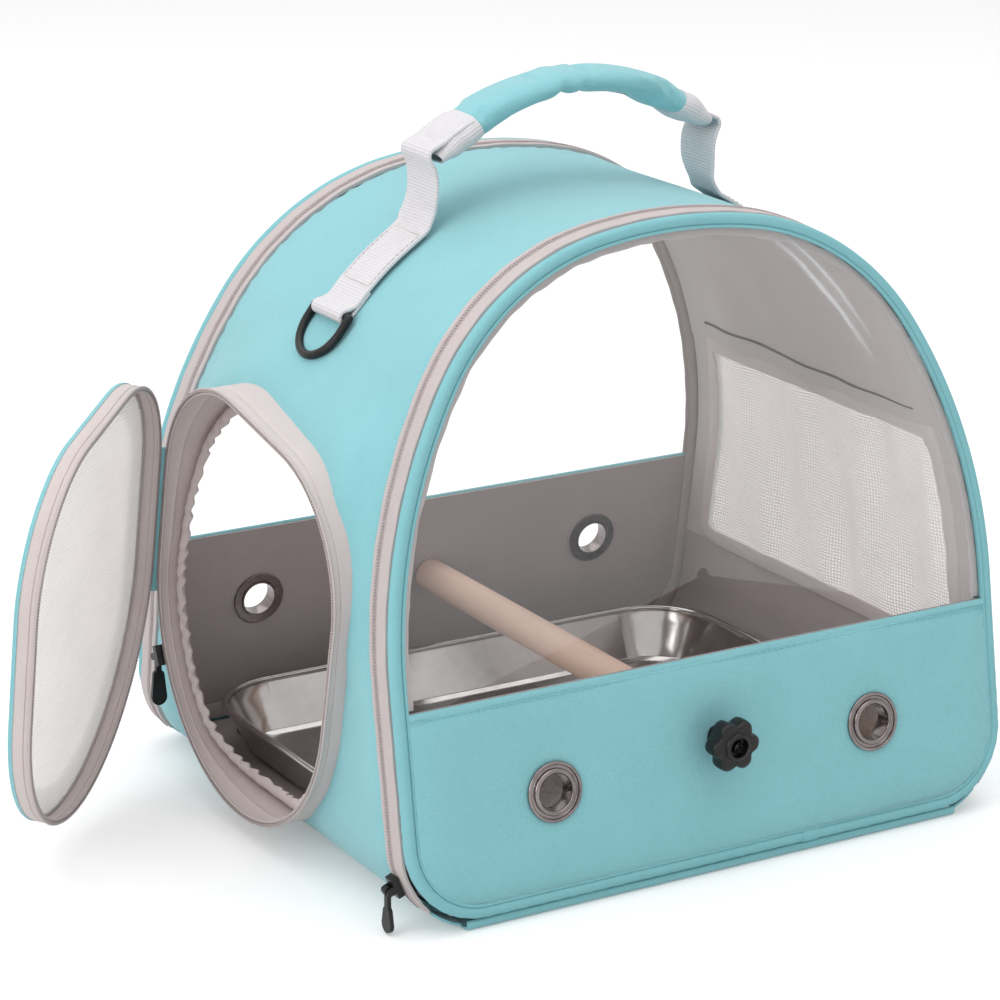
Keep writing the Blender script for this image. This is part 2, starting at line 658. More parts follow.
def strip_profile(near, far, top, bottom):
    """A flat band with turned edges, from one distance to another inside the seam plane."""
    soft = 0.25
    return np.array([(near, top - soft), (near + soft, top), (far - soft, top), (far, top - soft),
                     (far, bottom), (near, bottom)])


TOOTH_PITCH, TOOTH_HALF = 1.3, 0.42


def teeth(line, across, up, tall, wide):
    """A row of small tapered blocks on a line, standing up and reaching across it."""
    first, share = along(line, TOOTH_PITCH)
    line, across, up = np.broadcast_arrays(line, across, up)
    centre, reach, lift = ((way[first] * (1 - share) + way[first + 1] * share) for way in (line, across, up))
    forward = line[first + 1] - line[first]
    forward = forward / np.linalg.norm(forward, axis=1)[:, None]
    spots, faces = [], []
    block = [(0, 3, 2, 1), (4, 5, 6, 7), (0, 1, 5, 4), (1, 2, 6, 5), (2, 3, 7, 6), (3, 0, 4, 7)]
    for c, f, r, u in zip(centre, forward, reach, lift):
        start = len(spots)
        for level, grow in ((tall[0], 1.0), (tall[1], 0.72)):
            for a, b in ((-1, wide[0]), (1, wide[0]), (1, wide[1]), (-1, wide[1])):
                spots.append(c + f * a * TOOTH_HALF * grow + r * b * (0.6 + 0.4 * grow) + u * level)
        faces += [tuple(start + i for i in face) for face in block]
    return np.array(spots), faces, [(0, 0)] * (4 * len(faces))


line, out = rim_line(3.0, ZIP_END)
fine_line, fine_out = rim_line(1.5, ZIP_END)
wave = 0.12 * np.sin(np.arange(len(line)) * 0.9)[:, None] * out
for back, end in ENDS:
    for side, body, node, tape, cord, inset, reach in (
            ("bag", "shell", f"{end}_zip_shell_tape", (12.2, 15.3, 0.25, -1.6), (11.3, 12.4, 0.35, -0.9),
             11.7, (0.75, -0.75)),
            ("panel", f"{end}_flap", f"{end}_zip_flap_tape", (2.6, 9.4, 0.2, -1.2), (9.2, 10.8, 0.35, -0.9),
             10.2, (-0.75, 0.75))):
        parts = [turned(sweep(line + wave, INWARD, out, strip_profile(*tape)), back),
                 turned(sweep(line, INWARD, out, strip_profile(*cord)), back)]
        place(make(f"{end}_zip_tape_on_{side}", parts, zip_tape), body, "pink_tape", node)
        row = teeth(fine_line + inset * INWARD, INWARD, fine_out, (-0.6, 0.7), reach)
        place(make(f"{end}_zip_teeth_on_{side}", [turned(row, back)], nylon), body, "pink_tape")


# End panels: edges.
# A thick cord covered in the bag's cloth is sewn round each panel. Its cover is one bias-cut strip,
# a little wrinkled in the bends, and its ends meet under a short sleeve in the lower edge.
def panel_point(u, v, w, back=False):
    """A place in an end panel's own leaned plane: across, up along it, and out from it."""
    u, v, w = np.broadcast_arrays(u, v, w)
    side = -1 if back else 1
    return np.stack([side * u, side * (-HALF_DEPTH + v * math.sin(LEAN) - w * math.cos(LEAN)),
                     LIFT + v * math.cos(LEAN) + w * math.sin(LEAN)], -1)


def panel_way(u, v, w, back):
    """A direction in an end panel's own leaned plane."""
    return panel_point(u, v, w, back) - panel_point(0, 0, 0, back)


def panel_edge(inset, step, back):
    """A line round the panel, inset from its outline, and its ways across and out."""
    spots, ways = arch(PANEL_SIDE_TOP, step)
    line = panel_point(*(spots - inset * ways).T, 0, back)
    return line, panel_way(*ways.T, 0, back), panel_way(0, 0, 1, back)


def circle(count, radius=1.0):
    """Points round a circle."""
    turn = np.linspace(0, 2 * math.pi, count, endpoint=False)
    return radius * np.stack([np.cos(turn), np.sin(turn)], 1)


round_profile = circle(16)
CORD_INSET, CORD_R, LIP_INSET = 2.8, 2.72, 5.5
JOIN_X, JOIN_R = 44, 3.05
piping_cloth = woven("piping_cloth", (0.285, 0.610, 0.655), (0.200, 0.470, 0.515), (0.75, 0.75), 0.10, clouds=0.02)
for back, end in ENDS:
    line, across, out = panel_edge(CORD_INSET, 2.0, back)
    size = CORD_R + 0.09 * np.sin(np.arange(len(line)) * 1.7 + 2 * swell(line, 50, 31)) * (line[:, 2] < 60)
    cord = sweep(line, across, out, round_profile * size[:, None, None], True)
    join = (abs(line[:, 0] - JOIN_X * (-1 if back else 1)) < 5) & (line[:, 2] < 20)
    sleeve = sweep(line[join], across[join], out, round_profile * JOIN_R)
    line, across, out = panel_edge(LIP_INSET, 2.0, back)
    lip = sweep(line + 2.0 * out, across, out, np.array([(-0.7, -0.4), (0.7, -0.4), (0.6, 0.4), (-0.6, 0.3)]), True)
    edge = make(f"{end}_panel_piping", [cord, sleeve, lip], piping_cloth)
    place(edge, f"{end}_flap", "teal_fabric", f"{end}_piping")


# End panels: lower part.
# The lower part of each panel is a stiff sheet between outer cloth and lining. The cloth is turned
# over the top edge and stitched down 3 mm below it, and the two vents and the knob press into it.
CLOTH_INSET = 5.75


def panel_half(v, inset):
    """Half the width of an end panel at a height along it, inset from its outline."""
    return side_x(v, inset, PANEL_SIDE_TOP)


def panel_rows(top):
    """Heights for the rows of a panel's grid, closer together in its round corners."""
    corner = CORNER - (CORNER - 5.8) * np.cos(np.linspace(0.02, math.pi / 2, 12))
    return np.concatenate([corner, np.linspace(CORNER, top, 16)[1:]])


def peg(u, v, radius, high, back):
    """A round bar through an end panel."""
    ring = circle(40, radius) + (u, v)
    return bar(panel_point(*ring.T, -5, back), panel_point(*ring.T, high, back))


def stitch(first, last, across, lift, high, radius):
    """One stitch between two places: a thread arched up by high, radius thick."""
    line = np.linspace(first, last, 5) + high * np.sin(np.linspace(0, math.pi, 5))[:, None] * lift
    return sweep(line, across, lift, round_profile[::3] * radius)


stitch_thread = Paint("stitch_thread")
at = stitch_thread.node("ShaderNodeTexCoord", None, None, "Object")
twist = stitch_thread.node("ShaderNodeTexNoise", None, {"Vector": at, "Scale": 700.0})
thread = stitch_thread.surface({
    "Base Color": stitch_thread.mix(twist, (0.17, 0.42, 0.47, 1), (0.30, 0.62, 0.67, 1)), "Roughness": 0.7})
SILLS = {"front": 87.0, "back": 93.0}
VENTS = {"front": (77.5, 45.0), "back": (88.0, 58.0)}
KNOB_V = 53.5
VENT_R, STUD_R = 8.4, 3.5
CLOTH_OUT, CLOTH_UNDER, SEWN_UNDER = 2.9, 1.75, 1.9
FOLD_R, FOLD_UNDER_R = 1.45, 0.7
SEAM_DOWN, STITCH_PITCH, STITCH_LONG = 3, 3.0, 2.1


def panel_wear(u, v, half, sill, vents, seed):
    """How the outer cloth stands off its panel: domed, drawn in at the fittings, the stitches and the rim."""
    room = np.clip((half - abs(u)) / 9, 0, 1) * np.clip((v - 5.7) / 9, 0, 1)
    dome = 1.3 * room ** 0.5 * (0.55 + 0.45 * np.clip((sill - 4 - v) / 8, 0, 1))
    for du, dv, size, deep in ((-vents[0], vents[1], 15, 1.3), (*vents, 15, 1.3), (0, KNOB_V, 11, 1.4)):
        far = np.hypot(u - du, v - dv)
        dome = dome - deep * np.exp(-np.clip(far - size * 0.55, 0, None) ** 2 / (0.35 * size ** 2))
    over_seam = v - sill + SEAM_DOWN
    tack = np.exp(-(over_seam / 0.9) ** 2) * (abs(over_seam) < 3)
    rim = np.exp(-(half - abs(u)) / 5) + np.exp(-(v - 5.7) / 5)
    spots = np.stack(np.broadcast_arrays(u, v, 0 * u), 2)
    pucker = 0.22 * np.sin(v * 0.8 + u * 0.8 + 3 * swell(spots, 45, 43)) - 0.6
    return dome + 0.28 * swell(spots, 75, seed) + (0.07 * np.sin(u * 0.9) - 0.55) * tack + pucker * rim


def panel_face(path, end, worn=False):
    """A grid of an end panel's width for each (height, distance out) of a path."""
    sill, back = SILLS[end], end == "back"
    v, w = np.array(path).T[:, :, None]
    half = panel_half(np.minimum(v, sill), CLOTH_INSET)
    u = np.linspace(-1, 1, 73) * half
    if worn:
        w = w + panel_wear(u, v, half, sill, VENTS[end], 41 + back) * (v <= sill - 2.5)
    return panel_point(u, v, w, back)


for back, end in ENDS:
    flap, sill, vents = f"{end}_flap", SILLS[end], VENTS[end]
    heights = panel_rows(sill - 3.6)
    paths = []
    for out, near_seam, radius in ((CLOTH_OUT, CLOTH_OUT, FOLD_R), (CLOTH_UNDER, SEWN_UNDER, FOLD_UNDER_R)):
        paths.append([(v, out) for v in heights] + [(sill - s, near_seam) for s in (3.3, 3.0, 2.7, 2.3)]
                     + [(sill - FOLD_R + radius * math.sin(a), FOLD_R + radius * math.cos(a))
                        for a in np.linspace(0, math.pi, 9)])
    cloth = make(f"{end}_panel_cloth", [slab(panel_face(paths[0], end, True), panel_face(paths[1], end))], teal_cloth)
    place(cloth, flap, "teal_fabric", f"{end}_panel_cover")
    paths = [[(v, out) for v in (*heights, sill - 2, sill - 0.2)] for out in (-0.75, -1.4)]
    lining = make(f"{end}_panel_lining_cloth", [slab(*(panel_face(path, end) for path in paths))], grey_lining)
    place(lining, flap, "grey_lining", f"{end}_panel_lining")
    for sheet, stud_v, high in ((cloth, KNOB_V + 0.6, 12), (lining, KNOB_V, 5)):
        cut(sheet, *(peg(u, v, radius, high, back) for u, v, radius in (
            (*vents, VENT_R), (-vents[0], vents[1], VENT_R), (0, stud_v, STUD_R))))

    stitches = []
    reach = panel_half(sill - SEAM_DOWN, 8)
    for u in np.arange(-reach, reach, STITCH_PITCH):
        first, last = panel_point(np.array([u, u + STITCH_LONG]), sill - SEAM_DOWN + 0.05 * math.sin(u), 3.15, back)
        stitches.append(stitch(first, last, panel_way(0, 1, 0, back), panel_way(0, 0, 1, back), 0.28, 0.24))
    place(make(f"{end}_sill_stitches", stitches, thread), flap, "teal_fabric")


# End panels: clear windows.
# A sheet of soft clear film fills each arch above the cloth. It is sewn in under a narrow binding,
# and it is never quite flat: it ripples along its curved edge, where it catches the light.
film = Paint("clear_film")
at = film.node("ShaderNodeTexCoord", None, None, "Object")
across, _, height = film.node("ShaderNodeSeparateXYZ", None, {0: at}).outputs()
from_crown = (across * across + (height - 0.07) * (height - 0.07)) ** 0.5
lanes = film.node("ShaderNodeCombineXYZ", None, {0: from_crown * 95, 1: across * 7, 2: height * 7})
ripples = film.node("ShaderNodeTexNoise", None, {"Vector": lanes, "Scale": 1.0, "Detail": 2.0, "Roughness": 0.4})
crease = (from_crown + across * 0.69 - 0.2135) * 50 + (ripples - 0.5) * 0.35


def greys(*stops):
    """A ramp's stops, from (place, tone) pairs."""
    return {"stops": [(at, (tone, tone, tone, 1)) for at, tone in stops]}


creased = greys((0.22, 0), (0.34, 1), (0.45, 0.1), (0.60, 0.1), (0.70, 0.8), (0.80, 0))
streak = film.node("ShaderNodeValToRGB", creased, {0: crease})
aside = film.node("ShaderNodeValToRGB", greys((0.040, 0), (0.062, 1), (0.078, 1), (0.092, 0)), {0: across})
glance = film.node("ShaderNodeLayerWeight", None, {"Blend": 0.25}, 1)
clear = film.surface({"Base Color": (0.90, 0.93, 0.95, 1), "Roughness": 0.06, "IOR": 1.5,
                      "Alpha": 0.04 + 0.36 * (streak * aside) + 0.35 * glance * glance * glance})
FILM_SEAM = 7.6
film_edge = woven("film_binding", (0.62, 0.56, 0.55), (0.50, 0.45, 0.44), (0.8, 0.8), 0.07, clouds=0.02)
for back, end in ENDS:
    flap, sill = f"{end}_flap", SILLS[end]
    spots, ways = arch(PANEL_SIDE_TOP, 4.0)
    edge = (spots - 5.8 * ways)[spots[:, 1] > sill - 7.5]
    centre = np.array([0, max(sill, 120.0)])
    rows = []
    for part in np.linspace(1, 0.02, 22):
        ring = centre + (edge - centre) * part
        bow = 2.2 * (1 - part ** 4) * np.clip((ring[:, 1] - sill) / 40, 0, 1)
        frill = 0.9 * math.exp(-(1 - part) * 9) * np.sin(np.arange(len(ring)) * 0.75)
        slack = bow + frill + 0.5 * swell(np.stack([*ring.T, 0 * ring[:, 0]], 1), 80, 51)
        free = (part < 0.999) * (ring[:, 1] > sill + 1)
        rows.append(panel_point(*ring.T, -0.12 + slack * free, back))
    rows = np.array(rows)
    pane = make(f"{end}_film", [slab(rows, rows + panel_way(0, 0, -0.4, back))], clear)
    place(pane, flap, "clear_film", f"{end}_window")

    line, across, out = panel_edge(FILM_SEAM, 3.0, back)
    above = line[:, 2] > LIFT + sill * math.cos(LEAN)
    profile = np.array([(1.8, -0.7), (1.8, -1.4), (-1.2, -1.5), (-1.9, -1.1), (-1.8, -0.65)])
    profile = profile * (1 + 0.22 * swell(line[above], 14, 52)[:, None, None] * (1, 0.6))
    ridge = make(f"{end}_film_binding", [sweep(line[above], across[above], out, profile)], film_edge)
    place(ridge, flap, "pink_tape", f"{end}_window_binding")
    profile = np.array([(6.6, -2.95), (6.6, -3.35), (2.2, -3.3), (-0.3, -2.0), (-0.3, -1.6), (2.0, -2.9)])
    tape = make(f"{end}_panel_seam_tape", [sweep(line, across, out, profile, True)], film_edge)
    place(tape, flap, "grey_lining")


# Side door: its opening.
# A light cloth collar stands out from the wall round the opening, and half of the door's zip runs
# on its rim. The lining inside is gathered on a thin elastic, so that the opening has a soft edge.
rim_spots, rim_ways = door_line(3.0)


def door_ring(path, point=door_point, spots=rim_spots, ways=rim_ways):
    """A grid right round the door: a row for each (distance from the middle, distance outwards)."""
    return np.array([point(x, *(spots + np.reshape(grow, (-1, 1)) * ways).T) for x, grow in path])


def door_cord(x, grow, radius, point=door_point):
    """A thin cord right round the door."""
    path = [(x + radius * math.cos(a), grow + radius * math.sin(a)) for a in np.linspace(0, 2 * math.pi, 9)]
    ring = door_ring(path, point)
    return slab(ring, ring * 0.99995, True)


collar_cloth = woven("collar_cloth", (0.700, 0.625, 0.612), (0.570, 0.500, 0.488), (0.85, 0.85), 0.09, clouds=0.02)
COLLAR_RIM = -152.6
under_rim = door_point(0, *rim_spots.T)
face = -side_x(under_rim[:, 2], 0)
face = face - pulled_out(np.stack([face, under_rim[:, 1], under_rim[:, 2]], 1)) - 0.15
root = -side_x(under_rim[:, 2], 3.6)
ripple = swell(under_rim, 26, 61)
outer_path, inner_path = [], []
for share in (0, 0.12, 0.24, 0.36, 0.5, 0.62, 0.66, 0.70, 0.8, 0.92, 1):
    bulge = 0.35 * math.sin(math.pi * share) * ripple + 0.3 * (1 - share) ** 3 - 0.4 * (share == 0.66)
    outer_path.append((face * (1 - share) + COLLAR_RIM * share, bulge - 0.1))
    inner_path.append((root * (1 - share) + COLLAR_RIM * share, bulge - 1.15))
outer_path += [(-153.0, -0.3), (-153.1, -0.65)]
inner_path += [(-153.0, -1.0), (-153.1, -0.65)]
collar = make("door_collar_cloth", [slab(door_ring(outer_path), door_ring(inner_path), True)], collar_cloth)
place(collar, "shell", "pink_tape", "door_collar")


def door_teeth(x, toward, point):
    """The zip's teeth on one rim of the door, pointing to the other rim."""
    ring, ways = (np.concatenate([each, each[:1]]) for each in door_line(1.4))
    line = point(x, *ring.T)
    up = point(x, *(ring + ways).T) - line
    across = point(x + toward, *ring.T) - line
    return teeth(line, across, up, (-1.0, 0.1), (-0.6, 0.55))


rim_tape = make("door_zip_tape_on_collar", [door_cord(-152.9, 0.1, 0.55), door_cord(-152.9, -1.7, 0.5)], zip_tape)
place(rim_tape, "shell", "pink_tape", "door_zip_collar_tape")
place(make("door_zip_teeth_on_collar", [door_teeth(-153.3, -1, door_point)], nylon), "shell", "pink_tape")

fine_rim = door_line(1.2)
under_rim = door_point(0, *fine_rim[0].T)
bed = -side_x(under_rim[:, 2], 0)
turns = run_along(fine_rim[0]) * 0.80 + 2.6 * swell(under_rim, 24, 62)
gather = (0.65 + 0.35 * swell(under_rim, 9, 64)) * np.sin(turns)
slow = swell(under_rim, 22, 63)
faces = []
for thick in (0.0, 0.45):
    path = []
    for share in np.linspace(0, 1, 10):
        wave = gather * 1.25 * share ** 1.2 + 0.7 * slow * share
        path.append((bed + 2.0 + thick - 2.2 * math.sin(math.pi * share) - 2.4 * share + wave,
                     -1.3 - 7.2 * share + 0.35 * gather * share * (slow + 0.4) + 0.5 * slow * share))
    path.append((path[-1][0] + 1.0 - thick, path[-1][1] + 0.5))
    faces.append(door_ring(path, door_point, *fine_rim))
frill = make("door_frill", [slab(*faces, True)], collar_cloth)
place(frill, "shell", "pink_tape", "door_opening_ruffle")


# Side door: the leaf.
# A ring of the bag's cloth faces the leaf. A light gusset stands on it, with the other half of the
# zip on its rim, and ribbed net fills the leaf. A taped seam holds the net's edge inside.
SWING = math.radians(43)
HINGE_S = 78.2


def leaf_point(x, s, t):
    """A place on the door leaf, given as it lies when shut, where it is with the door ajar."""
    dx, ds = np.subtract(x, DOOR_RIM), np.subtract(s, HINGE_S)
    return door_point(DOOR_RIM + dx * math.cos(SWING) + ds * math.sin(SWING),
                      HINGE_S - dx * math.sin(SWING) + ds * math.cos(SWING), t)


ripple = swell(leaf_point(-160, *rim_spots.T), 30, 65)
outer_path, inner_path = [(-154.9, -0.6), (-155.0, -0.3)], [(-154.9, -0.6), (-155.0, -0.9)]
for share in (0, 0.12, 0.24, 0.28, 0.32, 0.45, 0.6, 0.8, 1):
    x = -155.4 * (1 - share) - 162.7 * share
    bulge = (0.35 + 0.22 * ripple) * math.sin(math.pi * share) - 0.4 * (share == 0.28)
    outer_path.append((x, bulge - 0.05))
    inner_path.append((x, bulge - 1.1))
faces = [door_ring(path, leaf_point) for path in (outer_path, inner_path)]
gusset = make("door_gusset_cloth", [slab(*faces, True)], collar_cloth)
place(gusset, "side_door", "pink_tape", "door_gusset")

roll = [(-162.85 - 1.2 * math.sin(a), -0.1 - 1.3 * (1 - math.cos(a)) + 0.55 * math.sin(a))
        for a in np.linspace(0.0, math.pi / 2, 6)]
faces = []
for first, on_leaf, last, dx, grow in ((0.35, -164.1, -163.9, 0, 0.35), (0.05, -163.1, -163.2, 0.4, 0)):
    path = [(-162.2, first)] + [(x + dx, out + grow) for x, out in roll]
    path += [(on_leaf, -out) for out in (3, 5, 8, 11, 12.4)] + [(last, -13)]
    faces.append(door_ring(path, leaf_point))
border = make("door_face_cloth", [slab(*faces, True)], teal_cloth)
place(border, "side_door", "teal_fabric", "door_face_ring")


def door_half(t, inset):
    """Half the door's width at a height in its plane, inset from its outline."""
    low = np.sqrt(np.clip((DOOR_HALF - inset) ** 2 - (t - DOOR_LOW) ** 2, 0, None))
    high = DOOR_HALF - DOOR_TOP_R + np.sqrt(np.clip((DOOR_TOP_R - inset) ** 2 - (t - DOOR_HIGH) ** 2, 0, None))
    return np.where(t < DOOR_LOW, low, np.where(t < DOOR_HIGH, DOOR_HALF - inset, high))


def mapped(part, flat):
    """The same part with the coordinates of its threads taken from a pair for each point."""
    spots, faces, _ = part
    return spots, faces, [tuple(flat[i]) for face in faces for i in face]


door_net = net("door_net", (0.97, 0.935, 0.925), 0.85, 0.30, 0.2, ribs=0.5, slant=math.radians(-15))
NET_EDGE = 1.4
# The rounds stop just short of a quarter turn, so that no row of the net shrinks to a point.
ALMOST_QUARTER = 1.555
t = np.concatenate([DOOR_LOW + (DOOR_HALF - NET_EDGE) * np.sin(np.linspace(-ALMOST_QUARTER, 0, 18)),
                    np.linspace(DOOR_LOW, DOOR_HIGH, 12)[1:-1],
                    DOOR_HIGH + (DOOR_TOP_R - NET_EDGE) * np.sin(np.linspace(0, ALMOST_QUARTER, 16))])[:, None]
s = door_half(t, NET_EDGE) * np.linspace(-1, 1, 41)[None, :]
t = t + 0 * s
drum = np.clip(1 - np.hypot(s / 74, (t - 8) / 84), 0, 1) ** 0.5
bow = (0.45 * swell(np.stack([s, t, 0 * s], 2), 46, 66) - 0.9) * drum
faces = [leaf_point(x + bow, s, t) for x in (-162.15, -162.5)]
flat = np.stack([s, t], 2).reshape(-1, 2)
leaf_net = make("door_net_panel", [mapped(slab(*faces), np.concatenate([flat, flat]))], door_net)
place(leaf_net, "side_door", "pale_mesh", "door_mesh")

raw_edge = woven("raw_edge", (0.62, 0.57, 0.56), (0.34, 0.31, 0.305), (0.9, 1.3), 0.2, clouds=0.06)
fray = 0.35 * np.sin(np.arange(len(rim_spots)) * 2.1) * swell(leaf_point(-160, *rim_spots.T), 12, 67)
seam = make("door_net_seam", [door_cord(-161.9, fray - 1.7, 0.6, leaf_point)], raw_edge)
place(seam, "side_door", "grey_lining")

cords = [door_cord(-155.1, 0.1, 0.55, leaf_point), door_cord(-155.1, -1.7, 0.5, leaf_point)]
place(make("door_zip_tape_on_leaf", cords, zip_tape), "side_door", "pink_tape", "door_zip_leaf_tape")
place(make("door_zip_teeth_on_leaf", [door_teeth(-154.7, 1, leaf_point)], nylon), "side_door", "pink_tape")


# Side door: its hinge.
# Nothing but cloth hinges the door: a short flap of the bag's cloth is sewn to the collar and to
# the leaf's gusset, and folds between them as the door swings.
t = np.linspace(-29.3, 40.3, 30)
faces = []
for out in (1.25, 0.35):
    rows = [door_point(x, 77 + out, t) for x in (-145.6, -147.5, -149.5, -151.4)]
    rows.append(door_point(-154.1, 77.2 + out, t))
    rows += [leaf_point(x, 77 + out, t) for x in (-156.6, -158.5, -160.2, -161.6)]
    rows = np.array(rows)
    faces.append(rows + 0.15 * swell(rows, 20, 68)[..., None] * (0, 1, 0))
hinge = make("door_hinge_cloth", [slab(*faces)], teal_cloth)
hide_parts("door_hinge_strip")
tuple(door_point(-151.6, 78, 5) * MM)
tuple(leaf_point(-156.4, 78, 5) * MM)
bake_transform(hinge)


# Handle: webbing.
# One length of ribbed webbing on each side holds the handle. It is folded round the D-ring's bar, sewn
# along the shoulder of the bag, stands up to the grip and turns back over the grip's end.
def flow(points, step):
    """A smooth line through points, with about step mm between its own."""
    points = np.asarray(points, float)
    ends = np.concatenate([[2 * points[0] - points[1]], points, [2 * points[-1] - points[-2]]])
    line = []
    for a, b, c, d in zip(ends, ends[1:], ends[2:], ends[3:]):
        count = max(1, round(np.linalg.norm(c - b) / step))
        for k in np.arange(count)[:, None] / count:
            line.append(0.5 * (2 * b + (c - a) * k + (2 * a - 5 * b + 4 * c - d) * k ** 2
                               + (3 * b - a - 3 * c + d) * k ** 3))
    line.append(points[-1])
    return np.array([np.ravel(p) for p in line])


def strap_profile(width, thick):
    """Webbing's section, rounded and a little thicker along its two edges."""
    half, edge = width / 2, thick / 2
    top = [(-half, 0.3 * edge), (-half + 0.4, edge), (-half + 1.6, 0.94 * edge), (0, 0.9 * edge),
           (half - 1.6, 0.94 * edge), (half - 0.4, edge), (half, 0.3 * edge)]
    return np.array(top + [(a, -b) for a, b in reversed(top)])


webbing = woven("webbing", (0.760, 0.745, 0.765), (0.600, 0.580, 0.600), (1.35, 0), 0.16, clouds=0.02)
GRIP_LOW, GRIP_R = 196.1, 109.52


def on_shoulder(angle, lift):
    """A place over the bag's shoulder: its angle there, and its distance from the outer face."""
    x, rise, radius = SHOULDER
    turn = math.radians(angle)
    return x + (radius + lift) * math.cos(turn), SIDE_TOP + rise + (radius + lift) * math.sin(turn)


# The webbing's way, in the plane across the bag: from under the ring, round its bar, back along
# the shoulder, up the leg, round the grip's end and along the grip.
around_bar = [(109.65 + 2.55 * math.cos(a), 222.69 + 2.55 * math.sin(a))
              for a in np.radians([-172, -132, -82, -32, 18, 53])]
shoulder = [on_shoulder(*spot) for spot in ((40, 2.0), (44, 1.65), (49, 1.55), (54, 1.5), (58.5, 1.6), (61.5, 2.1))]
leg = [(70.0, 256.6), (68.0, 260.6), (67.2, 266), (67.0, 271), (67.3, 276), (68.7, 280.5)]
over = [(70.2, 283.2), (69.6, 286.0), (66.6, 287.6), (62.5, 289.5), (58.0, 292.4), (53.2, 294.9), (49.6, 296.5)]
route = flow([on_shoulder(44, 0.75), on_shoulder(40.5, 0.8), *around_bar, *shoulder, *leg, *over], 1.3)
ahead = np.gradient(route, axis=0)
ahead /= np.linalg.norm(ahead, axis=1)[:, None]
in_leg = np.exp(-((route[:, 1] - 259) / 5.5) ** 2) * (route[:, 0] < 80)
narrow = 1 - 0.07 * in_leg - 0.05 * np.clip((route[:, 1] - 278) / 8, 0, 1)
profile = strap_profile(25, 1.45) * (narrow[:, None, None] * (1, 0) + (0, 1))
bow = 0.5 * np.sin(profile[..., 0] / 12.5 * 2.2 + run_along(route)[:, None] * 0.06) * (in_leg[:, None] + 0.15)
profile = profile + bow[..., None] * (0, 1)

white_thread = woven("white_thread", (0.80, 0.77, 0.77), (0.62, 0.58, 0.58), (0.5, 0), 0.05)
FORTH = np.array([0, 1.0, 0])
for side, name in ((1, "right"), (-1, "left")):
    slip = in_leg * (-0.96 if side > 0 else 1.6)
    line = np.stack([side * route[:, 0], slip, route[:, 1]], 1)
    lie = np.stack([-side * ahead[:, 1], 0 * slip, ahead[:, 0]], 1)
    across = FORTH + np.outer(0.09 * side * in_leg, (1, 0, 0))
    strap = make(f"{name}_webbing", [sweep(line, across, lie, profile)], webbing)
    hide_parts(f"{name}_strap_anchor")

    rows = []
    for angle, lift in ((45, 2.45), (60, 2.5)):
        x, z = on_shoulder(angle, lift)
        up = np.array([side * math.cos(math.radians(angle)), 0, math.sin(math.radians(angle))])
        for y in np.arange(-10.4, 10.4, 2.6):
            first = np.array([side * x, y, z])
            rows.append(stitch(first, first + 1.9 * FORTH, np.cross(up, FORTH), up, 0.16, 0.22))
    for y in (-10.6, 10.6):
        for angle in np.arange(45.2, 59.5, 1.35):
            up = np.array([side * math.cos(math.radians(angle)), 0, math.sin(math.radians(angle))])
            first, last = ((side * x, y, z) for x, z in (on_shoulder(angle, 2.42), on_shoulder(angle + 0.95, 2.42)))
            rows.append(stitch(first, last, FORTH, up, 0.16, 0.22))
    place(make(f"{name}_webbing_stitches", rows, white_thread), "shell", "pink_tape")
    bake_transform(strap)


# Handle: grip.
# The grip is a sleeve of the bag's cloth pulled over a foam rod. It is slack where the grip bends,
# and webbing caps both of its ends.
def grip_point(angle, across, up):
    """A place in the grip: the angle along its arc, across it from front to back, and up."""
    turn = np.radians(angle)
    lean = 1.6 * np.sin(turn * 3.1)
    return np.stack(np.broadcast_arrays((GRIP_R + up) * np.sin(turn), across,
                                        GRIP_LOW + (GRIP_R + up) * np.cos(turn) + lean), -1)


def grip_section(count, wide, thick):
    """A flat round section: half circles joined by nearly straight sides."""
    a = np.linspace(0, 2 * math.pi, count, endpoint=False)
    return np.stack([wide / 2 * np.sign(np.cos(a)) * abs(np.cos(a)) ** 0.8,
                     thick / 2 * np.sign(np.sin(a)) * abs(np.sin(a)) ** 0.9], 1)


# Below, angles are measured along the grip's arc from its middle.
angles = np.linspace(-31.2, 31.2, 73)[:, None]
around = grip_section(40, 25.6, 10.6)
pinch = np.exp(-((angles + 3.5) / 1.8) ** 2) + 0.4 * np.exp(-((angles - 1.5) / 1.5) ** 2)
below = np.clip(-around[:, 1] / 5, 0, 1) + 0.3
core = grip_point(angles, around[:, 0] * (1 - 0.05 * pinch), around[:, 1] + 2.4 * pinch * below)
sleeve = make("grip_sleeve", [closed_skin(core, core.mean(1))], teal_cloth, 60)
SLACK_LOW, SLACK_HIGH, SLACK_MOST = -26, 28, 0.0018
still = np.array([v.co for v in sleeve.data.vertices])
held, count = 2 * len(around), len(still)
ends = sleeve.vertex_groups.new(name="ends")
ends.add([*range(held), *range(count - held, count)], 1.0, "REPLACE")
drape = sleeve.modifiers.new("drape", "CLOTH")
drape.settings.quality = 6
drape.settings.mass = 0.25
drape.settings.use_pressure = True
drape.settings.uniform_pressure_force = 3.0
drape.settings.shrink_min = drape.settings.shrink_max = -0.055
drape.settings.bending_stiffness = 0.25
drape.settings.effector_weights.gravity = 0
drape.settings.vertex_group_mass = "ends"
for frame_number in range(1, 21):
    scene.frame_set(frame_number)
settle(sleeve)
scene.frame_set(1)
moved = np.array([v.co for v in sleeve.data.vertices]) - still
far = np.linalg.norm(moved, axis=1)[:, None]
free = np.clip((angles - SLACK_LOW) / 4, 0, 1) * np.clip((SLACK_HIGH - angles) / 4, 0, 1)
moved *= np.minimum(1, SLACK_MOST / np.maximum(far, 1e-9)) * np.repeat(free, len(around), axis=0)
sleeve.data.vertices.foreach_set("co", (still + moved).ravel())
smooth(sleeve, 60)
